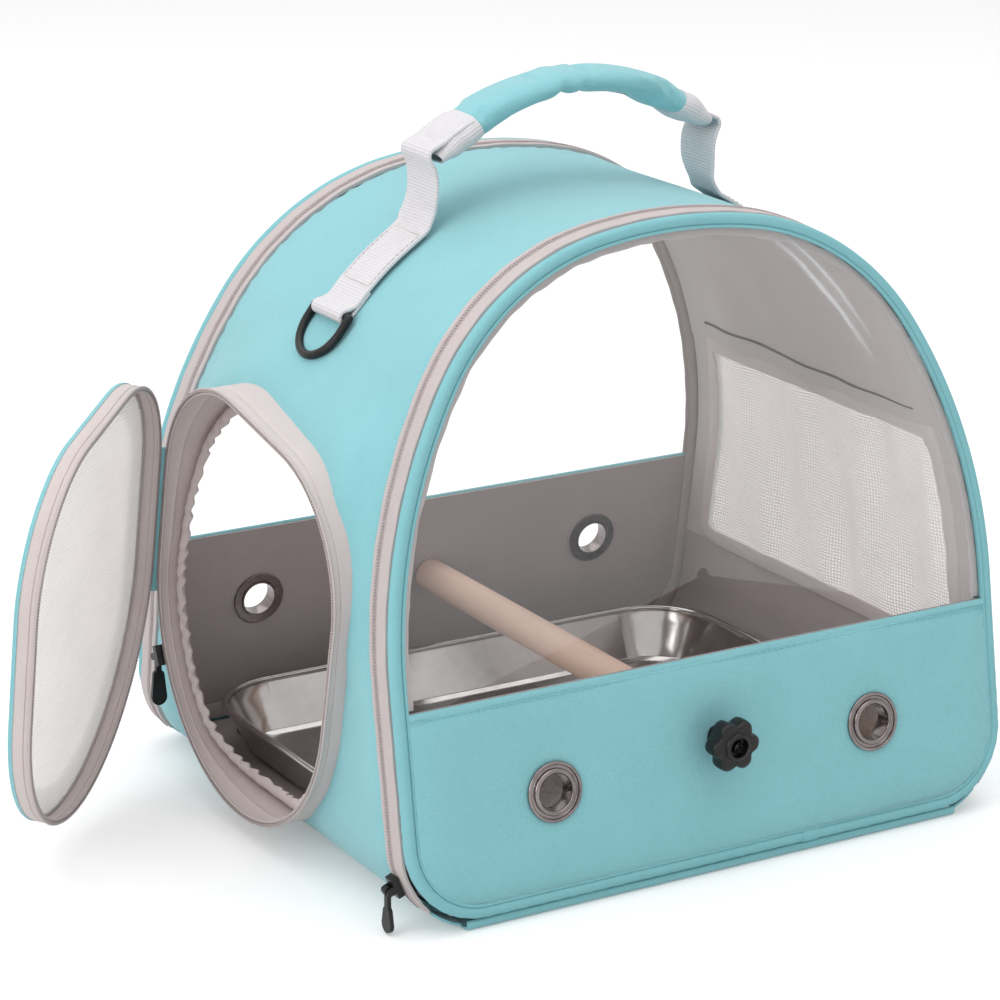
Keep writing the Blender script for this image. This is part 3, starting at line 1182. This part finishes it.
place(sleeve, "handle", "teal_fabric", "handle_grip")

caps = []
for outer, inner in ((-36.4, -25.2), (36.4, 28.2)):
    turn = np.linspace(*sorted((outer, inner)), 15)[:, None]
    from_inner = np.clip(abs(turn - inner) / 2.0, 0, 1)
    from_outer = np.clip(abs(turn - outer) / 4.5, 0, 1)
    around = grip_section(36, 1, 1)
    wide = 27.6 - 1.2 * (1 - from_outer) + 0.5 * np.sin(turn * 1.3)
    thick = 12.6 - 5.6 * (1 - from_outer) - 0.9 * (1 - from_inner)
    worn = 0.2 * swell(grip_point(turn, around[:, 0] * 27, around[:, 1] * 12), 9, 71)
    shape = grip_point(turn, around[:, 0] * wide, around[:, 1] * thick + worn)
    under = grip_point(turn, around[:, 0] * (wide - 2.2), around[:, 1] * (thick - 2.2))
    caps.append(slab(shape, under, True))
place(make("grip_caps", caps, webbing), "handle", "pink_tape", "handle_webbing")


# Lower hinges of the end panels.
# Each end panel is sewn to the base by a folded strip of the bag's cloth, so that it falls open
# outwards when its zip is undone. The strip lies on the ground in front of the panel.
for back, end in ENDS:
    outward = 1 if back else -1
    low, high = (np.array(corner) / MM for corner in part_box(f"{end}_hinge_strip"))
    tip, root = (high[1], low[1]) if back else (low[1], high[1])
    x = np.linspace(low[0] + 0.4, high[0] - 0.4, 60)
    fold = 0.25 * np.sin(x * 0.33) + 0.35 * swell(np.stack([x, 0 * x, 0 * x], 1), 30, 81)
    rows = []
    for share, z in ((1, 0.55), (0.35, 0.55), (0.18, 0.6), (0.05, 1.0), (0, 2.4), (0.03, 4.1)):
        y = tip + share * (root - tip)
        raised = z > 0.9
        bulge = np.clip(fold * (0.3 if z > 1 else 0.12), -0.4, 0.15) * raised
        rows.append([np.stack(np.broadcast_arrays(x, y + outward * bulge, z - 0.45), 1),
                     np.stack(np.broadcast_arrays(x, y - outward * 0.8 * raised, z + 0.45 * (z < 1.5)), 1)])
    strip = make(f"{end}_hinge_cloth", [slab(*np.swapaxes(rows, 0, 1))], teal_cloth)
    place(strip, "shell", "teal_fabric", f"{end}_hinge_strip")


# Hard fittings.
# The knobs, their studs, eyelets, D-rings, zip sliders, perch and tray are moulded, turned or
# pressed pieces. They keep their own shapes, with their edges broken and their finishes on.
def grained(name, light, dark, scale, rough, metal=0.0, relief=0.00005, shine=0.5, stretch=(1, 1, 1)):
    """A hard finish with an uneven tone and a fine relief."""
    paint = Paint(name)
    at = paint.node("ShaderNodeTexCoord", None, None, "Object")
    pulled = paint.node("ShaderNodeVectorMath", {"operation": "MULTIPLY"}, {0: at, 1: stretch})
    cloud = paint.node("ShaderNodeTexNoise", None, {"Vector": pulled, "Scale": scale, "Detail": 5.0, "Roughness": 0.6})
    fine = paint.node("ShaderNodeTexNoise", None, {"Vector": pulled, "Scale": scale * 9, "Detail": 2.0})
    worn = paint.node("ShaderNodeNewGeometry", None, None, "Pointiness")
    tint = paint.mix((cloud - 0.5) * 2.2 + 0.5 + (worn - 0.5) * 3, (*dark, 1), (*light, 1))
    bump = paint.node("ShaderNodeBump", None, {"Strength": 0.5, "Distance": relief, "Height": cloud + fine * 0.4})
    return paint.surface({"Base Color": tint, "Roughness": rough + (fine - 0.5) * 0.16, "Metallic": metal,
                          "Normal": bump, "Specular IOR Level": shine})


black_plastic = grained("black_plastic", (0.014, 0.013, 0.014), (0.006, 0.006, 0.006), 120.0, 0.36, shine=0.3)
black_metal = grained("black_enamel", (0.016, 0.015, 0.016), (0.006, 0.006, 0.006), 200.0, 0.34, shine=0.3)
gunmetal = grained("gunmetal", (0.30, 0.26, 0.26), (0.16, 0.135, 0.135), 60.0, 0.20, metal=1.0, relief=0.00001)
plain_steel = grained("plain_steel", (0.62, 0.61, 0.60), (0.45, 0.44, 0.44), 90.0, 0.32, metal=1.0)
tray_steel = grained("tray_steel", (0.56, 0.54, 0.53), (0.42, 0.40, 0.39), 22.0, 0.17, metal=1.0, relief=0.0001)
perch_wood = grained("perch_wood", (0.86, 0.64, 0.53), (0.70, 0.49, 0.39), 60.0, 0.62, relief=0.00008,
                     stretch=(1, 0.06, 1))
floor_cloth = grained("floor_cloth", (0.24, 0.215, 0.21), (0.17, 0.152, 0.15), 900.0, 0.85, relief=0.00008)
pale_board = grained("pale_board", (0.62, 0.60, 0.58), (0.52, 0.50, 0.48), 60.0, 0.8)
foam = grained("grey_foam", (0.30, 0.30, 0.31), (0.20, 0.20, 0.21), 500.0, 0.95, relief=0.0003)


def dress(paint, slot, edge, *nodes, sharp=35):
    """A finish and broken edges for pieces that keep the shape they were cut to."""
    for node in nodes:
        piece = solids[node]
        piece.data.materials.clear()
        piece.data.materials.append(paint)
        if edge:
            joined = piece.modifiers.new("joined", "WELD")
            joined.merge_threshold = 0.00001
            broken = piece.modifiers.new("broken", "BEVEL")
            broken.width, broken.segments, broken.limit_method = edge * MM, 2, "ANGLE"
            broken.angle_limit = math.radians(sharp)
            broken.harden_normals = False


# Each knob is a six-lobed star of black plastic with a dished face round a raised collar. Its steps
# are pairs of a share of its radius and a place along the bag.
KNOB_HEIGHT, KNOB_R, KNOB_BORE = 58, 10.3, 0.25
turn = np.linspace(0, 2 * math.pi, 144, endpoint=False)
star = 1 + 0.115 * np.cos(6 * turn) - 0.02 * np.cos(12 * turn)
steps = np.array([
    (0.48, -122.9), (0.50, -124.8), (0.58, -127.6), (0.72, -129.2), (0.90, -129.7), (0.98, -130.6), (1.0, -132.2),
    (1.0, -135.2), (0.97, -136.9), (0.90, -137.8), (0.80, -138.1), (0.62, -137.7), (0.57, -137.9), (0.545, -138.9),
    (0.50, -139.3), (0.42, -139.3), (0.39, -138.8), (0.38, -136.2), (0.30, -135.8)])
lobed = 1 + (star - 1) * np.clip((steps[:, :1] - 0.58) / 0.14, 0, 1)
faces = []
for share in (steps[:, :1], KNOB_BORE):
    radius = KNOB_R * share * lobed
    places = (radius * np.cos(turn), steps[:, 1:], KNOB_HEIGHT + radius * np.sin(turn))
    faces.append(np.stack(np.broadcast_arrays(*places), 2))
for back, end in ENDS:
    knob = make(f"{end}_star_knob", [turned(slab(*faces, True), back)], black_plastic, 50)
    place(knob, f"{end}_knob", "black_plastic", f"{end}_knob")
dress(plain_steel, "steel", 0.25, "front_knob_stud", "back_knob_stud", "perch_sleeves")
dress(gunmetal, "gunmetal", 0.35, "front_eyelets", "back_eyelets", "front_eyelet_washers", "back_eyelet_washers")
dress(black_metal, "black_metal", 0.3, "front_zip_slider", "back_zip_slider", "door_zip_slider",
      "front_zip_pull", "back_zip_pull", "door_zip_pull")
dress(black_metal, "black_metal", 0, "left_d_ring", "right_d_ring")
dress(perch_wood, "perch_wood", 0.6, "perch")
dress(tray_steel, "tray_steel", 0.3, "tray")
dress(floor_cloth, "stiffener", 0.6, "base_board")
dress(pale_board, "stiffener", 0.3, "front_panel_board", "back_panel_board")
dress(foam, "foam", 0.5, "handle_core")
